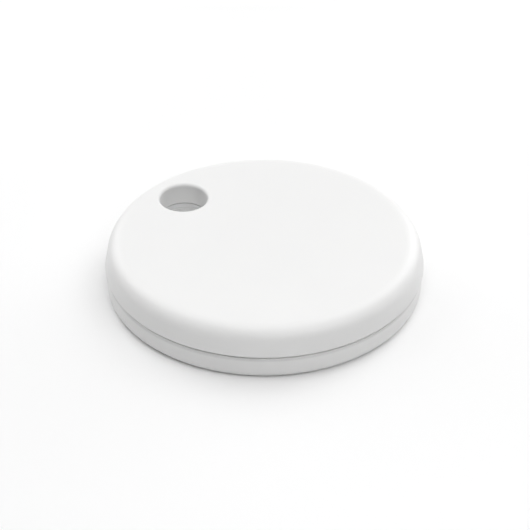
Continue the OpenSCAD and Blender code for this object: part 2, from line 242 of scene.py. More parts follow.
def add_node(tree, kind, options=None, **inputs):
    """A shader node with its options and inputs set."""
    node = tree.nodes.new(kind)
    for key, value in (options or {}).items():
        setattr(node, key, value)
    for key, value in inputs.items():
        feed(tree, node.inputs[key.replace("_", " ")], value)
    return node


def math_node(tree, operation, first, second=0.0):
    """The output of one Math node, whose two inputs are sockets or numbers."""
    node = add_node(tree, "ShaderNodeMath", {"operation": operation})
    feed(tree, node.inputs[0], first)
    feed(tree, node.inputs[1], second)
    return node.outputs[0]


def from_axis(tree, coordinate):
    """The distance of a coordinate from the Z axis: its length once its height is taken out."""
    flat = add_node(tree, "ShaderNodeMapping", Vector=coordinate, Scale=(1, 1, 0)).outputs["Vector"]
    length = add_node(tree, "ShaderNodeVectorMath", {"operation": "LENGTH"})
    tree.links.new(flat, length.inputs[0])
    return length.outputs["Value"]


def eased(tree, value, limits, start=0.0, end=1.0):
    """Goes smoothly from a start to an end as a value goes from one limit to the other, both in millimetres."""
    kept = dict(Value=value, From_Min=limits[0] * MM, From_Max=limits[1] * MM, To_Min=start, To_Max=end)
    return add_node(tree, "ShaderNodeMapRange", {"interpolation_type": "SMOOTHSTEP"}, **kept).outputs["Result"]


def colour_between(tree, factor, low, high):
    """A colour that goes from low to high as a factor goes from 0 to 1."""
    ramp = add_node(tree, "ShaderNodeValToRGB", Fac=factor)
    ramp.color_ramp.elements[0].color = (*low, 1)
    ramp.color_ramp.elements[1].color = (*high, 1)
    return ramp.outputs["Color"]


def value_between(tree, factor, low, high):
    """A number that goes from low to high as a factor goes from 0.3 to 0.7, which is where noise mostly lies."""
    kept = dict(Value=factor, From_Min=0.3, From_Max=0.7, To_Min=low, To_Max=high)
    return add_node(tree, "ShaderNodeMapRange", **kept).outputs["Result"]


# %% Pattern groups
def new_pattern(name):
    """An empty group that takes a coordinate and a scale, and gives a height and a shade from 0 to 1."""
    group = bpy.data.node_groups.new(name, "ShaderNodeTree")
    group.interface.new_socket("Coordinate", in_out="INPUT", socket_type="NodeSocketVector")
    group.interface.new_socket("Scale", in_out="INPUT", socket_type="NodeSocketFloat")
    group.interface.new_socket("Height", in_out="OUTPUT", socket_type="NodeSocketFloat")
    group.interface.new_socket("Shade", in_out="OUTPUT", socket_type="NodeSocketFloat")
    return group, group.nodes.new("NodeGroupInput"), group.nodes.new("NodeGroupOutput")


def noise(tree, coordinate, scale, detail=2.0):
    """The value of a noise texture at a coordinate."""
    made = add_node(tree, "ShaderNodeTexNoise", Vector=coordinate, Scale=scale, Detail=detail)
    return made.outputs["Fac"]


def give(group, end, height, shade):
    """Links a pattern's two results to the end of its group."""
    group.links.new(height, end.inputs["Height"])
    group.links.new(shade, end.inputs["Shade"])
    return group


def moulded_grain():
    """Fine noise for the height, and noise fifty times as broad for the shade."""
    group, start, end = new_pattern("moulded_grain")
    at, scale = start.outputs["Coordinate"], start.outputs["Scale"]
    broad = math_node(group, "MULTIPLY", scale, 0.02)
    return give(group, end, noise(group, at, scale), noise(group, at, broad, 4.0))


def rolled_lines():
    """Noise squeezed to a thirtieth along X, so its grains become long straight lines."""
    group, start, end = new_pattern("rolled_lines")
    scale = start.outputs["Scale"]
    long_way = add_node(group, "ShaderNodeMapping", Vector=start.outputs["Coordinate"], Scale=(0.033, 1, 1))
    at = long_way.outputs["Vector"]
    broad = math_node(group, "MULTIPLY", scale, 0.2)
    return give(group, end, noise(group, at, scale), noise(group, at, broad, 4.0))


def turned_rings():
    """Noise along the distance from the Z axis alone, so its grains become rings."""
    group, start, end = new_pattern("turned_rings")
    scale = start.outputs["Scale"]
    distance = from_axis(group, start.outputs["Coordinate"])
    at = add_node(group, "ShaderNodeCombineXYZ", X=distance).outputs["Vector"]
    broad = math_node(group, "MULTIPLY", scale, 0.2)
    return give(group, end, noise(group, at, scale), noise(group, at, broad, 4.0))


PATTERNS = {"grain": moulded_grain(), "lines": rolled_lines(), "rings": turned_rings()}
print("patterns", sorted(PATTERNS))

# %% One finish from a pattern
def coordinate_at(tree, centre=(0, 0), turn=0.0):
    """Object coordinates moved so that a place in millimetres is their middle, and turned about Z."""
    a = math.radians(turn)
    x, y = -centre[0] * MM, -centre[1] * MM
    moved = (x * math.cos(a) - y * math.sin(a), x * math.sin(a) + y * math.cos(a), 0)
    at = add_node(tree, "ShaderNodeTexCoord").outputs["Object"]
    return add_node(tree, "ShaderNodeMapping", Vector=at, Location=moved, Rotation=(0, 0, a)).outputs["Vector"]


def pattern_finish(name, low, high, rough, scale, height, metallic=0.0, pattern="grain", centre=(0, 0), turn=0.0):
    """The colour goes from low to high and the roughness between two values with a pattern's shade, and its grains
    stand up by a height in millimetres."""
    material, tree, shader = new_finish(name)
    placed = add_node(tree, "ShaderNodeGroup", {"node_tree": PATTERNS[pattern]}, Scale=scale)
    tree.links.new(coordinate_at(tree, centre, turn), placed.inputs["Coordinate"])
    shade = placed.outputs["Shade"]
    tree.links.new(colour_between(tree, shade, low, high), shader.inputs["Base Color"])
    tree.links.new(value_between(tree, shade, *rough), shader.inputs["Roughness"])
    bump = add_node(tree, "ShaderNodeBump", Height=placed.outputs["Height"], Distance=height * MM)
    tree.links.new(bump.outputs["Normal"], shader.inputs["Normal"])
    shader.inputs["Metallic"].default_value = metallic
    return material


finishes = {}

# %% [markdown]
# ### White case
# Both covers are moulded in a hard white plastic with a fine satin grain from the mould. It has
# no pattern that shows at arm's length, but it is a little warmer and a little smoother in some
# places than in others, and close up the grain breaks the gloss. So the grain is very low and
# about a tenth of a millimetre wide.

# %% White case
finishes["case_white"] = pattern_finish(
    "case_white", (0.838, 0.838, 0.835), (0.848, 0.847, 0.842), (0.36, 0.44), scale=9000, height=0.0015)

# %% [markdown]
# ### Painted shade in the seam
# The seam shows as a soft grey line right up to both ends of the tag, where the gap itself is
# hidden under the upper cover's edge. That line is the shade under the edge, which the lamps here
# fill in, so it is painted into the white finish as a darker band. It could be a thin ring of its own,
# but it fades down the lower cover, so it is a mask in the finish: near the seam's height, and only on the outside.

# %% Painted shade in the seam
# Heights and radii in mm of the band of painted shade, and how much it darkens the colour
SHADE_RISE = (2.25, 2.62)
SHADE_FALL = (2.66, 2.82)
SHADE_OUTSIDE = (18.1, 18.5)
SHADE_SHARE = 0.15


def paint_seam_shade(material):
    """Paints shade into a finish's colour: darkens it by a share of a mask, which is the product of a rise and a fall
    along the height and of a rise along the distance from the Z axis."""
    tree = material.node_tree
    colour = tree.nodes["Principled BSDF"].inputs["Base Color"]
    at = coordinate_at(tree)
    height = add_node(tree, "ShaderNodeSeparateXYZ", Vector=at).outputs["Z"]
    fall = eased(tree, height, SHADE_FALL, 1.0, 0.0)
    band = math_node(tree, "MULTIPLY", eased(tree, height, SHADE_RISE), fall)
    mask = math_node(tree, "MULTIPLY", band, eased(tree, from_axis(tree, at), SHADE_OUTSIDE))
    # Painted shade: the mask darkens the case's colour below the upper cover's edge
    kept = math_node(tree, "SUBTRACT", 1.0, math_node(tree, "MULTIPLY", mask, SHADE_SHARE))
    seam_shaded = add_node(tree, "ShaderNodeHueSaturation", Color=colour.links[0].from_socket, Value=kept)
    tree.links.new(seam_shaded.outputs["Color"], colour)


# Paints the shade under the upper cover's edge into the white case
paint_seam_shade(finishes["case_white"])
# The band of painted shade lies between these heights
print("dust between", SHADE_RISE[0], "and", SHADE_FALL[1], "mm")

# %% [markdown]
# ### Soft and moulded parts
# The two seals are pale silicone. The cell's holder and the switch's button are ivory plastic,
# and the switch's body, the chips and the cell's gasket are black. All of them are moulded, so
# they share the grain and differ in colour, gloss and how deep the grain goes.

# %% Moulded finishes
MOULDED = {
    "silicone": dict(low=(0.85, 0.852, 0.855), high=(0.8, 0.803, 0.808), rough=(0.5, 0.62), scale=7000, height=0.002),
    "chip_black": dict(low=(0.02, 0.02, 0.022), high=(0.038, 0.038, 0.04),
                       rough=(0.5, 0.64), scale=14000, height=0.004),
    "ferrite": dict(low=(0.06, 0.06, 0.064), high=(0.11, 0.11, 0.115), rough=(0.55, 0.75), scale=9000, height=0.006),
    "cradle_plastic": dict(low=(0.8, 0.79, 0.745), high=(0.74, 0.73, 0.68),
                           rough=(0.4, 0.52), scale=8000, height=0.003),
    "gasket_plastic": dict(low=(0.1, 0.1, 0.1), high=(0.14, 0.14, 0.14), rough=(0.45, 0.6), scale=9000, height=0.002),
    "switch_black": dict(low=(0.03, 0.03, 0.033), high=(0.05, 0.05, 0.054),
                         rough=(0.4, 0.55), scale=9000, height=0.003),
    "plunger_plastic": dict(low=(0.76, 0.73, 0.63), high=(0.7, 0.66, 0.55),
                            rough=(0.4, 0.5), scale=9000, height=0.002),
    "tape": dict(low=(0.82, 0.78, 0.64), high=(0.74, 0.69, 0.54), rough=(0.3, 0.45), scale=6000, height=0.002),
    "antenna_ceramic": dict(low=(0.8, 0.81, 0.77), high=(0.72, 0.735, 0.7),
                            rough=(0.4, 0.55), scale=12000, height=0.003),
    "capacitor_tan": dict(low=(0.5, 0.37, 0.235), high=(0.41, 0.3, 0.19),
                          rough=(0.42, 0.55), scale=15000, height=0.003),
    "cell_lithium": dict(low=(0.62, 0.62, 0.6), high=(0.5, 0.5, 0.49), rough=(0.5, 0.65), scale=6000, height=0.004),
    "separator_felt": dict(low=(0.9, 0.9, 0.88), high=(0.8, 0.8, 0.78), rough=(0.8, 0.9), scale=12000, height=0.01),
    "cell_cathode": dict(low=(0.04, 0.04, 0.04), high=(0.07, 0.07, 0.07),
                         rough=(0.7, 0.85), scale=12000, height=0.006),
    "board_print": dict(low=(0.86, 0.86, 0.84), high=(0.76, 0.76, 0.74), rough=(0.5, 0.6), scale=12000, height=0.002),
}
finishes.update({name: pattern_finish(name, **values) for name, values in MOULDED.items()})

# %% [markdown]
# ### Metals
# The springs and the frame of the switch are cut from rolled strip, whose fine lines run along
# it. The coin cell is drawn and brushed, and its rings run round its middle, and so do those of
# the sounder's brass plate. Tin is matt and slightly clouded, and gold is thin and bright.

# %% Metal finishes
CELL_MIDDLE = (-3.0, -3.0)
SOUNDER_MIDDLE = (0.0, -1.5)

METALS = {
    "gold_plate": dict(low=(0.86, 0.64, 0.27), high=(0.74, 0.52, 0.2), rough=(0.22, 0.36), scale=9000, height=0.001),
    "tin_plate": dict(low=(0.74, 0.74, 0.72), high=(0.6, 0.6, 0.59), rough=(0.28, 0.46), scale=9000, height=0.004),
    "cell_steel": dict(low=(0.62, 0.62, 0.61), high=(0.53, 0.53, 0.525),
                       rough=(0.27, 0.34), scale=30000, height=0.0006,
                       pattern="rings", centre=CELL_MIDDLE),
    "etched_steel": dict(low=(0.34, 0.34, 0.34), high=(0.27, 0.27, 0.27),
                         rough=(0.5, 0.6), scale=20000, height=0.003),
    "contact_gold": dict(low=(0.83, 0.62, 0.28), high=(0.7, 0.49, 0.2), rough=(0.24, 0.36), scale=9000, height=0.001,
                         pattern="lines"),
    "sounder_brass": dict(low=(0.8, 0.59, 0.26), high=(0.68, 0.47, 0.19), rough=(0.26, 0.4), scale=6000, height=0.001,
                          pattern="rings", centre=SOUNDER_MIDDLE),
    "spring_steel": dict(low=(0.64, 0.64, 0.63), high=(0.52, 0.52, 0.52),
                         rough=(0.26, 0.4), scale=9000, height=0.0015,
                         pattern="lines", turn=90),
}
finishes.update({name: pattern_finish(name, metallic=1.0, **values) for name, values in METALS.items()})
print("finishes", len(finishes))

# %% [markdown]
# ### Board, resistors and sounder disc
# Three finishes change at a line. The board is green lacquer over pale glass laminate, which
# shows at its cut edge between two heights. A resistor is white ceramic with a black glaze over
# its top. The sounder's disc is silvered, but for a bare rim. A comparison of the height or of
# the distance from the middle gives each of these lines.

# %% Finishes that change at a line
BOARD_TOP = 1.55
BOARD_MIDDLE = 1.25
LAMINATE_HALF = 0.27
WEAVE_PITCH = 0.45
GLAZE_FROM = 1.83
SILVER_R = 7.9


def height_of(tree):
    """The height of a point above the floor."""
    at = add_node(tree, "ShaderNodeTexCoord").outputs["Object"]
    return add_node(tree, "ShaderNodeSeparateXYZ", Vector=at).outputs["Z"]


def two_finishes(tree, shader, mask, first, second):
    """Colour and roughness that change from the first pair to the second where a mask goes from 0 to 1."""
    tree.links.new(colour_between(tree, mask, first[0], second[0]), shader.inputs["Base Color"])
    rough = add_node(tree, "ShaderNodeMapRange", Value=mask, To_Min=first[1], To_Max=second[1])
    tree.links.new(rough.outputs["Result"], shader.inputs["Roughness"])


def woven_height(tree):
    """Two sets of waves that cross at right angles, the glass cloth under the lacquer."""
    at = add_node(tree, "ShaderNodeTexCoord").outputs["Object"]
    waves = []
    for way in ("X", "Y"):
        kind = {"wave_type": "BANDS", "bands_direction": way}
        scale = 2 * math.pi / (20 * WEAVE_PITCH * MM)
        waves.append(add_node(tree, "ShaderNodeTexWave", kind, Vector=at, Scale=scale).outputs["Fac"])
    return math_node(tree, "MULTIPLY", *waves)


def board_laminate():
    """Green lacquer with the weave under it, and bare laminate between two heights of the cut edge."""
    material, tree, shader = new_finish("board_laminate")
    off_middle = math_node(tree, "ABSOLUTE", math_node(tree, "SUBTRACT", height_of(tree), BOARD_MIDDLE * MM))
    edge = math_node(tree, "LESS_THAN", off_middle, LAMINATE_HALF * MM)
    two_finishes(tree, shader, edge, ((0.016, 0.135, 0.068), 0.3), ((0.5, 0.44, 0.24), 0.7))
    bump = add_node(tree, "ShaderNodeBump", Height=woven_height(tree), Distance=0.004 * MM, Strength=0.4)
    tree.links.new(bump.outputs["Normal"], shader.inputs["Normal"])
    return material


def resistor_black():
    """White ceramic, with black glaze above a height."""
    material, tree, shader = new_finish("resistor_black")
    glaze = math_node(tree, "GREATER_THAN", height_of(tree), GLAZE_FROM * MM)
    two_finishes(tree, shader, glaze, ((0.8, 0.79, 0.75), 0.6), ((0.02, 0.02, 0.02), 0.25))
    return material


def sounder_ceramic():
    """Silver within a distance from the disc's middle, and bare ceramic outside it."""
    material, tree, shader = new_finish("sounder_ceramic")
    distance = from_axis(tree, coordinate_at(tree, SOUNDER_MIDDLE))
    silver = math_node(tree, "LESS_THAN", distance, SILVER_R * MM)
    two_finishes(tree, shader, silver, ((0.78, 0.74, 0.64), 0.6), ((0.8, 0.79, 0.76), 0.38))
    tree.links.new(silver, shader.inputs["Metallic"])
    return material


finishes["board_laminate"] = board_laminate()
finishes["resistor_black"] = resistor_black()
finishes["sounder_ceramic"] = sounder_ceramic()
finishes["covered_copper"] = pattern_finish(
    "covered_copper", (0.03, 0.2, 0.1), (0.022, 0.165, 0.08), (0.26, 0.36), scale=9000, height=0.002)

# %% [markdown]
# ### Floor and solid pieces
# Each solid piece that stays takes the finish its record names. The table is a dull white paper
# that throws light back up at the sides of the tag. Far from the tag it turns clear, so that no
# edge shows against the background.

# %% Finishes on the solid pieces
def dress(obj, material):
    """Puts one material on an object in place of what it has."""
    obj.data.materials.clear()
    obj.data.materials.append(material)


for part in frame["record"]["subparts"]:
    dress(nodes[part["node"]], finishes[part["material_slot"]])

floor_finish = pattern_finish(
    "floor_white", (0.95, 0.95, 0.95), (0.94, 0.94, 0.94), (0.85, 0.95), scale=900, height=0.0)
floor_tree = floor_finish.node_tree
floor_shader = floor_tree.nodes["Principled BSDF"]
floor_shader.inputs["Specular IOR Level"].default_value = 0
fade = eased(floor_tree, from_axis(floor_tree, coordinate_at(floor_tree)), FLOOR_FADE, 1.0, 0.0)
floor_tree.links.new(fade, floor_shader.inputs["Alpha"])
dress(floor, floor_finish)
print("dressed", len(nodes), "solid pieces and the floor")

# %% [markdown]
# ## Helpers for the parts on the board
# The small parts are blocks with rounded corners and edges, bent strips, rings and lines. An
# outline is a rectangle with round corners, and a circle is the outline whose corners meet. A
# strip is an outline carried along a bent path. A shape is made once at the origin and then
# spread to all its places on the board.

# %% Outlines, paths and places
def outline(half_x, half_y, corner, z=0.0, shift=0.0, steps=6):
    """A rectangle with round corners at one height: a quarter circle of points about the middle of each corner."""
    turn = np.radians(90 * np.arange(4)[:, None] + 90 * (np.arange(steps) + 0.5) / steps)
    x = shift + np.array([1, -1, -1, 1])[:, None] * (half_x - corner) + corner * np.cos(turn)
    y = np.array([1, 1, -1, -1])[:, None] * (half_y - corner) + corner * np.sin(turn)
    return np.stack([x, y, np.full_like(x, z)], -1).reshape(-1, 3)


def circle(r, z, steps=6):
    """An outline whose four corners meet in one circle."""
    return outline(r, r, r, z, steps=steps)


def rounded_path(points, cut):
    """A line of points with each corner replaced by a curve between two points at a distance before and after it:
    the corner pulls the curve towards itself with the weight 2 s (1 - s)."""
    p = np.asarray(points, float)
    before, corner, after = p[:-2], p[1:-1], p[2:]
    s = np.linspace(0, 1, 7)[None, :, None]

    def towards(q):
        step = q - corner
        length = np.linalg.norm(step, axis=1, keepdims=True)
        return corner + step / length * np.minimum(cut, 0.48 * length)

    start, end = towards(before)[:, None], towards(after)[:, None]
    curve = (1 - s) ** 2 * start + 2 * s * (1 - s) * corner[:, None] + s ** 2 * end
    return np.concatenate([p[:1], curve.reshape(-1, p.shape[1]), p[-1:]])


def along(path, closed=False):
    """The unit step along a path at each of its points."""
    step = np.roll(path, -1, 0) - np.roll(path, 1, 0) if closed else np.gradient(path, axis=0)
    return step / np.linalg.norm(step, axis=1, keepdims=True)


def carry(profile, path, up, closed=False):
    """Rows of a profile carried along a path: its second number goes along up, and its first across the path."""
    side = np.cross(up, along(path, closed))
    side = side / np.linalg.norm(side, axis=1, keepdims=True)
    return path[:, None] + side[:, None] * profile[None, :, :1] + up[:, None] * profile[None, :, 1:2]


def spread(shape, places, base=BOARD_TOP):
    """One shape at many places, each an x, a y and a turn in degrees, standing on a height."""
    points, corners, sizes = shape
    at = np.asarray(places, float).reshape(-1, 3)
    a = np.radians(at[:, 2])[:, None]
    x = points[:, 0] * np.cos(a) - points[:, 1] * np.sin(a) + at[:, :1]
    y = points[:, 0] * np.sin(a) + points[:, 1] * np.cos(a) + at[:, 1:2]
    z = np.broadcast_to(points[:, 2] + base, x.shape)
    moved = corners + len(points) * np.arange(len(at))[:, None]
    return np.stack([x, y, z], -1).reshape(-1, 3), moved.ravel(), np.tile(sizes, len(at))


def within(places, inner):
    """Places given from each of several places: turned with it, then moved to it."""
    outer = np.asarray(places, float).reshape(-1, 1, 3)
    local = np.asarray(inner, float).reshape(1, -1, 3)
    a = np.radians(outer[..., 2])
    x = outer[..., 0] + local[..., 0] * np.cos(a) - local[..., 1] * np.sin(a)
    y = outer[..., 1] + local[..., 0] * np.sin(a) + local[..., 1] * np.cos(a)
    return np.stack([x, y, outer[..., 2] + local[..., 2]], -1).reshape(-1, 3)


def make_piece(name, shape, slot, body="base", stands_for=(), finish=None):
    """A finished piece: its mesh, its finish, the body that it moves with and the solids that it stands for."""
    piece = mesh_object(name, shape)
    dress(piece, finishes[finish or slot])
    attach(piece, body)
    if stands_for:
        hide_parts(*stands_for)
    print(name, "faces", len(shape[2]))
    return piece


# %% Blocks and strips
def block_rows(size, corner, edge, sides=((0.0, 0.0),), hold=0.02, steps=6):
    """Rows of a block: outlines drawn in by an inset at each height of its sides, then a quarter circle over the top
    edge. Each side row is an inset and a share of the height."""
    sx, sy, h = size
    low = [(inset, share * (h - edge)) for inset, share in sides]
    lean = sides[-1][0]
    a = np.linspace(0, np.pi / 2, 5)
    rim = list(zip(lean + edge * (1 - np.cos(a)), h - edge + edge * np.sin(a)))
    rows = low + rim + [(lean + edge + hold, h)]
    return np.stack([outline(sx / 2 - i, sy / 2 - i, max(corner - i, 0.01), z, steps=steps) for i, z in rows])


def strip(path, t, w, cut):
    """A bent strip of sheet metal that runs along X and rises along Z, with its long edges slightly rounded."""
    flat = rounded_path(path, cut)
    line = np.stack([flat[:, 0], np.zeros(len(flat)), flat[:, 1]], -1)
    step = along(line)
    up = np.stack([-step[:, 2], np.zeros(len(flat)), step[:, 0]], -1)
    return loft(carry(outline(w / 2, t / 2, 0.4 * t, steps=3)[:, :2], line, up))


# %% [markdown]
# ## Small chips
# Capacitors and resistors are ceramic bricks a millimetre long with tinned ends, and solder
# climbs the ends in a hollow curve. The ends are a stack of outlines whose foot spreads out over
# the board, and one such end, turned both ways, serves every chip of its size.

# %% Places of the small chips
SMALL = (1.0, 0.5, 0.5)
FLAT = (1.0, 0.5, 0.35)
LARGE = (1.6, 0.8, 0.8)
END_SHARE = 0.24
BOTH_ENDS = [(0, 0, 0), (0, 0, 180)]
CAPACITORS = [
    (8, -0.9, 90), (8, 0.6, 90), (14.5, 1, 90), (14.6, -0.6, 90), (14.5, -2.2, 90), (10.8, -3.6, 0),
    (12.4, -3.6, 0), (-8.6, 7.4, 50), (-8, 9.4, 50), (1.6, 8.4, 0), (3.4, 7.8, 90),
]
LARGE_CAPACITORS = [(12.6, -8, 58)]
RESISTORS = [(11.6, 9.2, 128), (10.2, 11, 133), (4.9, 10.9, 0), (6.8, 10.9, 0), (11.3, -6.3, 0), (-3, 8.9, 20)]


# %% Small chips
def chip_middle(size):
    """The brick between the ends, drawn in a little on every side so that the tin stands proud of it."""
    middle = (size[0] * (1 - 1.9 * END_SHARE), size[1] - 0.03, size[2] - 0.015)
    return loft(block_rows(middle, 0.03, 0.03))


def tinned_end(size, share=END_SHARE, climb=0.55):
    """The end of a brick towards +X: its foot of solder reaches out, and draws in to the end's face as it climbs."""
    sx, sy, h = size
    inner = sx / 2 - sx * share
    rise = np.array([0, 0.03, 0.1, 0.25, 0.5, 1]) * climb * h
    reach = np.array([0.24, 0.17, 0.1, 0.045, 0.015, 0.0])
    a = np.linspace(0, np.pi / 2, 4)
    edge = 0.05
    z = np.concatenate([rise, h - edge + edge * np.sin(a), [h]])
    out = np.concatenate([reach, -edge * (1 - np.cos(a)), [-edge - 0.02]])
    wide = np.concatenate([reach * 0.35, -edge * (1 - np.cos(a)), [-edge - 0.02]])
    rows = []
    for height, o, w in zip(z, out, wide):
        left = inner - min(o, 0)
        right = sx / 2 + o
        rows.append(outline((right - left) / 2, sy / 2 + w, 0.045, height, shift=(left + right) / 2, steps=4))
    return loft(np.stack(rows))


make_piece("capacitors", together([
    spread(chip_middle(SMALL), CAPACITORS),
    spread(chip_middle(LARGE), LARGE_CAPACITORS),
]), "capacitor_tan", stands_for=["capacitors"])
make_piece("resistors", spread(chip_middle(FLAT), RESISTORS), "resistor_black", stands_for=["resistors"])

# %% [markdown]
# ## Leads
# The driver, the diode and the switch have flat leads that come out of the body's side, step
# down and lie on the board. Each is one bent strip. All tinned ends and leads are one piece, as
# they are in the solid model.

# %% Leads and tinned ends
DRIVER = (7.3, -12.3, 30)
DIODE = (4, -13.1, 17)
SWITCH = (8.8, 7.8, 0)
DRIVER_SIZE = (2.9, 1.3, 1.0)
DIODE_SIZE = (1.7, 1.25, 0.9)
SWITCH_HALF = 1.8
LEAD_PATH = [(-0.1, 0.42), (0.14, 0.42), (0.27, 0.06), (0.6, 0.06)]
LEAD_T = 0.12


def lead(w):
    """A gull wing lead of one width: out, down and along the board."""
    return strip(LEAD_PATH, LEAD_T, w, 0.12)


driver_leads = [(0, DRIVER_SIZE[1] / 2, 90), (0.95, -DRIVER_SIZE[1] / 2, -90), (-0.95, -DRIVER_SIZE[1] / 2, -90)]
diode_leads = [(DIODE_SIZE[0] / 2, 0, 0), (-DIODE_SIZE[0] / 2, 0, 180)]
switch_leads = [(x, s * SWITCH_HALF, s * 90) for x in (-1.1, 1.1) for s in (-1, 1)]
make_piece("chip_terminals", together([
    spread(tinned_end(SMALL), within(CAPACITORS, BOTH_ENDS)),
    spread(tinned_end(LARGE), within(LARGE_CAPACITORS, BOTH_ENDS)),
    spread(tinned_end(FLAT), within(RESISTORS, BOTH_ENDS)),
    spread(lead(0.4), within([DRIVER], driver_leads)),
    spread(lead(0.35), within([DIODE], diode_leads)),
    spread(lead(0.7), within([SWITCH], switch_leads)),
]), "tin_plate", stands_for=["chip_terminals"])

# %% [markdown]
# ## Radio chip
# The radio chip is a flat black square with a shallow round dimple at one corner, and no text.
# Its pads show at the foot of its sides, each with a little solder. The dimple is pressed into
# the top by lowering the rows of the top near one place, so these rows are many and close.

# %% Radio chip
RADIO = (11.3, -0.4, 0)
RADIO_SIZE = (5.0, 5.0, 0.85)
DIMPLE_AT = (-1.8, 1.8)
DIMPLE_R = 0.3
DIMPLE_DEPTH = 0.05
PAD_PITCH = 0.5
PADS_A_SIDE = 8


def radio_body():
    """A block whose top is filled with shrinking outlines, lowered within a circle by a smooth step."""
    sides = block_rows(RADIO_SIZE, 0.08, 0.05, ((0.02, 0.02), (0.0, 0.08)), steps=24)
    shrink = np.linspace(0.985, 0.01, 70)[:, None, None]
    top = sides[-1][None] * np.concatenate([shrink, shrink, np.ones_like(shrink)], -1)
    away = np.hypot(top[..., 0] - DIMPLE_AT[0], top[..., 1] - DIMPLE_AT[1])
    top[..., 2] -= DIMPLE_DEPTH * np.clip((DIMPLE_R + 0.04 - away) / 0.08, 0, 1)
    return loft(np.concatenate([sides, top]))


def radio_pad():
    """One pad at the chip's +X side: a flat foot of solder that climbs to a fifth of a millimetre."""
    reach = [(0.26, 0.0), (0.2, 0.03), (0.1, 0.07), (0.04, 0.13), (0.015, 0.2)]
    half = RADIO_SIZE[0] / 2
    rows = [outline((0.15 + o) / 2, 0.12, 0.03, z, shift=half + (o - 0.15) / 2, steps=3) for o, z in reach]
    return loft(np.stack(rows))


make_piece("radio_chip", spread(radio_body(), [RADIO]), "chip_black", stands_for=["radio_chip"])
pad_steps = (np.arange(PADS_A_SIDE) - (PADS_A_SIDE - 1) / 2) * PAD_PITCH
four_sides = within([RADIO], [(0, 0, 90 * k) for k in range(4)])
make_piece("radio_chip_pads", spread(radio_pad(), within(four_sides, [(0, y, 0) for y in pad_steps])), "tin_plate")

# %% [markdown]
# ## Crystals
# A crystal lies in a small ceramic tray under a metal lid that is welded round its rim. The lid
# is a block whose top has a raised border, and the tray is a plain block a little wider.

# %% Crystals
RADIO_CRYSTAL = (11.6, 3.6, 0)
RADIO_CRYSTAL_SIZE = (2.0, 1.6, 0.5)
CLOCK_CRYSTAL = (13.07, 5.28, 112)
CLOCK_CRYSTAL_SIZE = (3.2, 1.5, 0.75)
TRAY_SHARE = 0.6
LID_INSET = 0.15


def crystal_lid(size):
    """A lid from the tray's top up: an outline with a rounded edge, a flat border and a field a little lower."""
    low = TRAY_SHARE * size[2]
    rows = [(0, low), (0, size[2] - 0.05), (0.015, size[2] - 0.015), (0.05, size[2]), (0.14, size[2]),
            (0.17, size[2] - 0.03), (0.2, size[2] - 0.03)]
    half_x, half_y = size[0] / 2 - LID_INSET, size[1] / 2 - LID_INSET
    return loft(np.stack([outline(half_x - i, half_y - i, max(0.2 - i, 0.05), z) for i, z in rows]))


def crystal_tray(size):
    """A block of the tray's height with four softly rounded corners."""
    return loft(block_rows((size[0], size[1], TRAY_SHARE * size[2]), 0.12, 0.03))


for name, place, size in (("radio_crystal", RADIO_CRYSTAL, RADIO_CRYSTAL_SIZE),
                          ("clock_crystal", CLOCK_CRYSTAL, CLOCK_CRYSTAL_SIZE)):
    make_piece(name, spread(crystal_lid(size), [place]), "tin_plate", stands_for=[name])
    make_piece(name + "_tray", spread(crystal_tray(size), [place]), "antenna_ceramic")

# %% [markdown]
# ## Antenna
# The antenna is a white ceramic brick with a silver line that winds from end to end over its top.
# The line is a flat profile carried along a path of right angles with rounded corners.

# %% Antenna
ANTENNA = (-10.5, 8.8, 50)
ANTENNA_SIZE = (5.2, 2.0, 1.0)
LINE_W = 0.2
LINE_T = 0.02


def flat_line(path, width, height, cut=0.12, closed=False):
    """A low flat line that lies on a level path, a little narrower at its top."""
    line = path if closed else rounded_path(path, cut)
    half = width / 2
    lean = min(0.03, 0.2 * width)
    profile = np.array([[half, 0], [half - lean, height], [lean - half, height], [-half, 0]])
    return loft(carry(profile, line, np.tile([0.0, 0.0, 1.0], (len(line), 1)), closed), closed)


def winding_line():
    """Turns across the brick, a step of 0.4 mm apart, as one path of right angles."""
    x = np.repeat(np.arange(-2.0, 2.01, 0.4), 2)
    y = 0.7 * np.tile([-1, 1, 1, -1], len(x))[:len(x)]
    path = np.stack([x, y, np.full(len(x), ANTENNA_SIZE[2] - 0.001)], -1)
    return flat_line(path, LINE_W, LINE_T)


make_piece("chip_antenna", spread(loft(block_rows(ANTENNA_SIZE, 0.06, 0.05)), [ANTENNA]), "antenna_ceramic",
           stands_for=["chip_antenna"])
make_piece("chip_antenna_line", together([
    spread(winding_line(), [ANTENNA]),
    spread(tinned_end((5.23, 2.02, 1.01), share=0.07, climb=0.4), within([ANTENNA], BOTH_ENDS)),
]), "tin_plate")

# %% [markdown]
# ## Coil, driver and diode
# The coil is a square of pressed ferrite with a round core, and a groove between the two. The
# driver and the diode are black bodies that lean in above and below the line where their mould
# parted. All three are stacks of outlines; the coil's pass from squares to circles on its top.

# %% Coil, driver and diode
COIL = (9.2, -9.2, -45)
COIL_SIZE = (3.0, 3.0, 1.4)
CORE_R = 1.15
GROOVE_W = 0.2
GROOVE_DEPTH = 0.2
PARTED = ((0.07, 0.05), (0.0, 0.45), (0.0, 0.52), (0.08, 0.98))


def coil_body():
    """A square block, then circles on its top that go down into the groove and up again onto the core."""
    sides = block_rows(COIL_SIZE, 0.5, 0.08, steps=12)
    h = COIL_SIZE[2]
    outer = CORE_R + GROOVE_W
    rings = [(outer + 0.04, h), (outer, h - 0.03), (outer - 0.02, h - GROOVE_DEPTH), (CORE_R + 0.02, h - GROOVE_DEPTH),
             (CORE_R, h - 0.05), (CORE_R - 0.05, h), (CORE_R - 0.1, h)]
    return loft(np.concatenate([sides, np.stack([circle(r, z, steps=12) for r, z in rings])]))


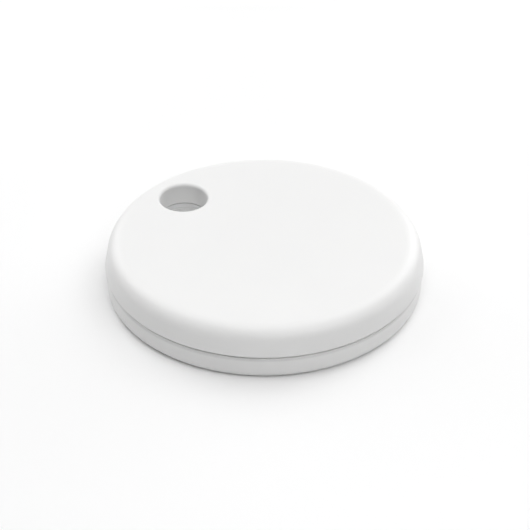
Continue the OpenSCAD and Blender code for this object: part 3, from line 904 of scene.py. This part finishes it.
make_piece("boost_coil", spread(coil_body(), [COIL]), "ferrite", stands_for=["boost_coil"])
coil_clip = strip([(1.1, 0.02), (1.52, 0.02), (1.52, 0.8)], 0.06, 1.6, 0.1)
make_piece("boost_coil_clips", spread(coil_clip, within([COIL], BOTH_ENDS)), "tin_plate")
for name, place, size in (("sounder_driver", DRIVER, DRIVER_SIZE), ("boost_diode", DIODE, DIODE_SIZE)):
    make_piece(name, spread(loft(block_rows(size, 0.1, 0.05, PARTED)), [place]), "chip_black", stands_for=[name])

# %% [markdown]
# ## Copper, holes and print on the board
# Copper lines under the green lacquer join the parts, a broad line runs round the edge, small
# plated holes go down to the other side, and thin white frames mark where parts stand. They are
# all low lines and rings on the board, with no letters or numbers.

# %% Copper lines
COPPER_T = 0.02
COPPER = [
    (0.2, [(-8.5, 10.2), (-7.2, 10.3), (-5.6, 9.9), (-3.7, 9.9), (-3.3, 8.9)]),
    (0.2, [(-2.6, 9.05), (-1.2, 8.4), (1.2, 8.4)]),
    (0.2, [(2.0, 8.4), (2.8, 8.7), (3.4, 8.2)]),
    (0.15, [(3.4, 7.4), (3.4, 6.2), (4.9, 4.7), (7.6, 4.7), (9.0, 4.0), (9.6, 2.4)]),
    (0.3, [(5.6, 8.8), (5.6, 9.6), (4.9, 10.3), (4.5, 10.9)]),
    (0.15, [(5.3, 10.9), (5.8, 11.1), (6.4, 10.9)]),
    (0.2, [(7.2, 10.9), (7.6, 10.7), (7.7, 10.1)]),
    (0.15, [(9.9, 10.1), (9.8, 10.5), (9.95, 11.2)]),
    (0.15, [(10.5, 10.7), (11.1, 10.2), (11.35, 9.55)]),
    (0.15, [(9.9, 5.4), (9.9, 4.7), (10.4, 4.2), (10.8, 4.0)]),
    (0.15, [(11.0, 2.2), (10.9, 2.5), (11.0, 2.9)]),
    (0.15, [(12.2, 2.2), (12.3, 2.5), (12.2, 2.9)]),
    (0.15, [(12.8, 2.2), (12.9, 2.7), (13.5, 3.3), (13.6, 4.0)]),
    (0.2, [(13.9, 0.7), (14.2, 0.6), (14.5, 0.6)]),
    (0.2, [(13.9, -0.8), (14.2, -0.9), (14.6, -1.0)]),
    (0.2, [(13.9, -1.8), (14.2, -1.8), (14.5, -1.8)]),
    (0.2, [(10.3, -2.9), (10.2, -3.2), (10.4, -3.6)]),
    (0.2, [(12.9, -2.9), (13.0, -3.2), (12.8, -3.6)]),
    (0.2, [(8.7, -0.4), (8.3, -0.3), (8.0, -0.5)]),
    (0.2, [(8.7, 0.9), (8.3, 1.1), (8.0, 1.0)]),
    (0.6, [(9.2, -4.75), (10.0, -5.3), (10.3, -6.3), (10.9, -6.3)]),
    (0.5, [(11.7, -6.3), (12.1, -6.6), (12.3, -7.5)]),
    (0.6, [(12.7, -8.6), (12.0, -9.6), (10.5, -10.2)]),
    (0.5, [(8.1, -10.3), (7.7, -10.9), (7.0, -11.6)]),
    (0.4, [(6.3, -13.3), (5.7, -13.0), (5.1, -12.8)]),
    (0.4, [(2.9, -13.5), (1.2, -13.4), (-1.6, -14.4), (-4.6, -14.0)]),
    (0.3, [(9.6, 3.3), (9.9, 3.2), (10.1, 2.6)]),
]
EDGE_R = 15.25
EDGE_W = 0.45
EDGE_ARCS = [(-196, 62), (138, 156)]
HOLE_RING_R = 14.75
PLATED_HOLES = [
    (-6.6, 10.9), (-2.0, 10.4), (0.2, 8.9), (4.6, 6.1), (6.4, 5.3), (7.2, 3.9), (13.8, 2.6), (14.9, 3.0), (9.2, -3.4),
    (10.9, -4.9), (13.2, -4.4), (14.0, -4.0), (8.6, -6.6), (9.6, -7.0), (10.9, -8.1), (6.0, -10.9), (8.9, -12.0),
    (3.2, -11.9), (12.2, 6.9), (11.4, 7.7), (8.8, 11.7), (5.6, 12.3), (-11.6, 5.6), (-12.9, 6.2), (-10.0, 6.2),
]


def edge_line(start, end):
    """The broad line along the board's edge: an arc between two angles."""
    a = np.radians(np.linspace(start, end, int((end - start) / 3) + 2))
    path = np.stack([EDGE_R * np.cos(a), EDGE_R * np.sin(a), np.zeros_like(a)], -1)
    return flat_line(path, EDGE_W, COPPER_T, cut=0.01)


def on_top(shape):
    """A shape that is already in its place across the board, lifted onto its top."""
    return spread(shape, [(0, 0, 0)])


lines = [flat_line(np.pad(np.array(p, float), ((0, 0), (0, 1))), w, COPPER_T, cut=0.3) for w, p in COPPER]
make_piece("board_copper", on_top(together(lines + [edge_line(*arc) for arc in EDGE_ARCS])), "board_laminate",
           finish="covered_copper")


# %% Plated holes
def plated_hole():
    """A low ring with a round edge: four corners carried once round the hole."""
    a = -np.radians(np.arange(16) * 22.5)
    profile = np.array([[0.26, 0.0], [0.24, 0.03], [0.14, 0.03], [0.12, 0.0]])
    radial = np.stack([np.cos(a), np.sin(a), np.zeros_like(a)], -1)
    up = np.array([0.0, 0.0, 1.0])
    return loft(radial[:, None] * profile[None, :, :1] + up * profile[None, :, 1:2], closed=True)


ring_angles = np.array([a for a in range(-150, 40, 10) if abs(a + 24) > 6 and abs(a + 81) > 6 and abs(a - 22) > 14])
ring = np.stack([HOLE_RING_R * np.cos(np.radians(ring_angles)), HOLE_RING_R * np.sin(np.radians(ring_angles))], -1)
holes = np.pad(np.concatenate([ring, PLATED_HOLES]), ((0, 0), (0, 1)))
make_piece("board_plated_holes", spread(plated_hole(), holes), "gold_plate")

# %% White frames
PRINT_T = 0.015
PRINT_W = 0.13
FRAMES = [
    (RADIO, 3.0, 3.0), (COIL, 1.85, 1.85), (RADIO_CRYSTAL, 1.25, 1.05), (CLOCK_CRYSTAL, 1.85, 1.0),
    (ANTENNA, 3.1, 1.3), (LARGE_CAPACITORS[0], 1.2, 0.65), (SWITCH, 2.2, 2.75),
]


def print_frame(half_x, half_y):
    """A thin frame with round corners."""
    return flat_line(outline(half_x, half_y, 0.2), PRINT_W, PRINT_T, closed=True)


band_x = DIODE_SIZE[0] / 2 - 0.32
band_path = np.array([[band_x, -0.5, 0], [band_x, 0, 0], [band_x, 0.5, 0]])
make_piece("board_print", together(
    [spread(print_frame(x, y), [place]) for place, x, y in FRAMES]
    + [spread(flat_line(band_path, 0.22, 0.008), [DIODE], BOARD_TOP + DIODE_SIZE[2] - 0.002)]
), "board_laminate", finish="board_print")

# %% [markdown]
# ## Cell holder and springs
# A wall of ivory plastic holds the coin cell against two gilt springs. The wall is one profile
# with a rounded top, carried round the cell. The springs are bent strips, whose corners are
# smooth bends here, and each has its foot in a low pool of solder.

# %% Cell holder
CELL_R = 10.0
HOLDER_R = (10.25, 11.0)
HOLDER_H = 2.05
HOLDER_ARC = (120, 340)


def cell_holder():
    """A wall's profile, a tall rectangle with round corners, carried round the cell's middle."""
    a = np.radians(np.linspace(HOLDER_ARC[1], HOLDER_ARC[0], 111))
    radial = np.stack([np.cos(a), np.sin(a), np.zeros_like(a)], -1)
    middle = sum(HOLDER_R) / 2
    path = radial * middle + [*CELL_MIDDLE, HOLDER_H / 2]
    profile = outline((HOLDER_R[1] - HOLDER_R[0]) / 2, HOLDER_H / 2, 0.16, steps=5)[:, :2]
    return loft(path[:, None] + radial[:, None] * profile[None, :, :1] + [0, 0, 1] * profile[None, :, 1:2])


make_piece("cell_cradle", on_top(cell_holder()), "cradle_plastic", stands_for=["cell_cradle"])

# %% Springs of the cell
SPRING_ANGLES = [-8, 105]
SPRING_PATH = [(2.6, 0.08), (1.0, 0.08), (0.72, 0.35), (0.13, 1.75), (0.3, 2.5), (0.7, 2.9)]
SPRING_T = 0.15
SPRING_W = 2.2


def round_the_cell(angle):
    """The place at the cell's side at one angle, turned outwards."""
    a = math.radians(angle)
    return CELL_MIDDLE[0] + CELL_R * math.cos(a), CELL_MIDDLE[1] + CELL_R * math.sin(a), angle


def solder_pool(start, end, half_w, height=0.12):
    """Solder round a foot that lies along X: an outline that draws in as it climbs, in a hollow curve."""
    share = np.array([0, 0.15, 0.4, 0.7, 1.0])
    out = 0.3 * (1 - share) ** 1.8
    half, middle = (end - start) / 2, (start + end) / 2
    rows = [outline(half + o, half_w + o, 0.15, z, shift=middle) for o, z in zip(out, share * height)]
    return loft(np.stack(rows))


spring_places = [round_the_cell(a) for a in SPRING_ANGLES]
make_piece("positive_contacts", spread(strip(SPRING_PATH, SPRING_T, SPRING_W, 0.35), spring_places), "contact_gold",
           stands_for=["positive_contacts"])

# %% Springs of the sounder
FINGER_T = 0.12
FINGER_W = 0.9
PLATE_FINGER = (5.6, 6.2, 90)
CERAMIC_FINGER = (6.84, 1.92, 26.6)
PLATE_UNDERSIDE = 5.35
CERAMIC_UNDERSIDE = 5.25
LIE = 0.02


def finger(underside):
    """A strip that folds back over its foot, rises to a height and turns down again at its tip."""
    h = underside - BOARD_TOP
    path = [(0.5, FINGER_T / 2), (2.6, FINGER_T / 2), (3, 0.35), (2.9, 0.9), (0.4, h - LIE - 0.2),
            (0, h - LIE - FINGER_T / 2), (-0.4, h - 0.4)]
    return strip(path, FINGER_T, FINGER_W, 0.3)


for name, place, underside in (("plate_contact", PLATE_FINGER, PLATE_UNDERSIDE),
                               ("ceramic_contact", CERAMIC_FINGER, CERAMIC_UNDERSIDE)):
    piece = make_piece(name, spread(finger(underside), [place]), "contact_gold", stands_for=[name])
    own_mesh(piece)
make_piece("contact_solder", together([
    spread(solder_pool(1.2, 2.6, SPRING_W / 2), spring_places),
    spread(solder_pool(0.5, 2.4, FINGER_W / 2, 0.1), [PLATE_FINGER, CERAMIC_FINGER]),
]), "tin_plate")

# %% [markdown]
# ## Coin cell
# The cell stays as the solid model has it. Its flat positive side gets a plus, which every coin
# cell has. It is marked by a laser, which leaves the steel dark and rough, so here it is a layer
# as thin as a hair on the cell, with twelve corners and its edge drawn in at the top.

# %% Plus on the cell
PLUS_AT = (-3.0, 2.6, 0)
PLUS_HALF = 1.5
PLUS_ARM = 0.36
PLUS_T = 0.02
CELL_TOP = 4.9


def plus_mark():
    """Two rows of twelve corners: the three corners of one arm's end and notch, turned by each quarter."""
    a = np.radians(90 * np.arange(4))[:, None]
    corner = np.array([[PLUS_HALF, -PLUS_ARM], [PLUS_HALF, PLUS_ARM], [PLUS_ARM, PLUS_ARM]])
    x = (corner[:, 0] * np.cos(a) - corner[:, 1] * np.sin(a)).ravel()
    y = (corner[:, 0] * np.sin(a) + corner[:, 1] * np.cos(a)).ravel()
    flat = np.stack([x, y, np.zeros_like(x)], -1)
    return loft(np.stack([flat, flat * 0.99 + [0, 0, PLUS_T]]))


make_piece("cell_plus", spread(plus_mark(), [PLUS_AT], CELL_TOP - 0.005), "cell_steel", finish="etched_steel")

# %% [markdown]
# ## Push switch
# A steel frame is folded over the black body of the switch and holds its ivory button, and a thin
# steel dome under the button gives the click. The frame is a stack of outlines between a square
# and a round hole, with two folded tabs. The dome is a curve turned about its axis.

# %% Frame of the switch
FRAME_Z = (1.2, 1.38)
FRAME_HALF = (1.95, 1.8)
FRAME_HOLE_R = 1.0


def switch_frame():
    """A plate between a rectangle and a round hole: rows out along its underside, up its edge, in over its top and
    back."""
    low, high = FRAME_Z
    edge = 0.06
    hx, hy = FRAME_HALF
    rows = [circle(FRAME_HOLE_R, low), outline(hx, hy, 0.25, low), outline(hx, hy, 0.25, high - edge),
            outline(hx - 0.02, hy - 0.02, 0.23, high - 0.02), outline(hx - edge, hy - edge, 0.2, high),
            outline(hx - 2 * edge, hy - 2 * edge, 0.2, high), circle(FRAME_HOLE_R + 0.08, high),
            circle(FRAME_HOLE_R + 0.03, high - 0.01), circle(FRAME_HOLE_R, high - 0.05)]
    return loft(np.stack(rows), closed=True)


frame_tab = strip([(1.6, 1.3), (1.875, 1.3), (1.875, 0.15)], 0.15, 1.8, 0.12)
make_piece("switch_frame", together([
    spread(switch_frame(), [SWITCH]),
    spread(frame_tab, within([SWITCH], BOTH_ENDS)),
]), "spring_steel", stands_for=["switch_frame"])

# %% Dome of the switch
POCKET_Z = 0.55
DOME_R = 1.4
DOME_RISE = 0.3
DOME_T = 0.06


def switch_dome():
    """Rows of circles up the outside of a shallow bowl and down its inside: the height falls with the square of the
    radius."""
    r = np.linspace(DOME_R, 0.02, 16)
    top = DOME_RISE * (1 - (r / DOME_R) ** 2) + DOME_T / 2
    outside = np.stack([circle(a, z + LIE + DOME_T / 2, steps=12) for a, z in zip(r, top)])
    inside = np.stack([circle(a, z + LIE - DOME_T / 2, steps=12) for a, z in zip(r, top)])
    return loft(np.concatenate([inside[::-1], outside]))


dome = make_piece("switch_dome", spread(switch_dome(), [SWITCH], BOARD_TOP + POCKET_Z), "spring_steel",
                  stands_for=["switch_dome"])
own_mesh(dome)
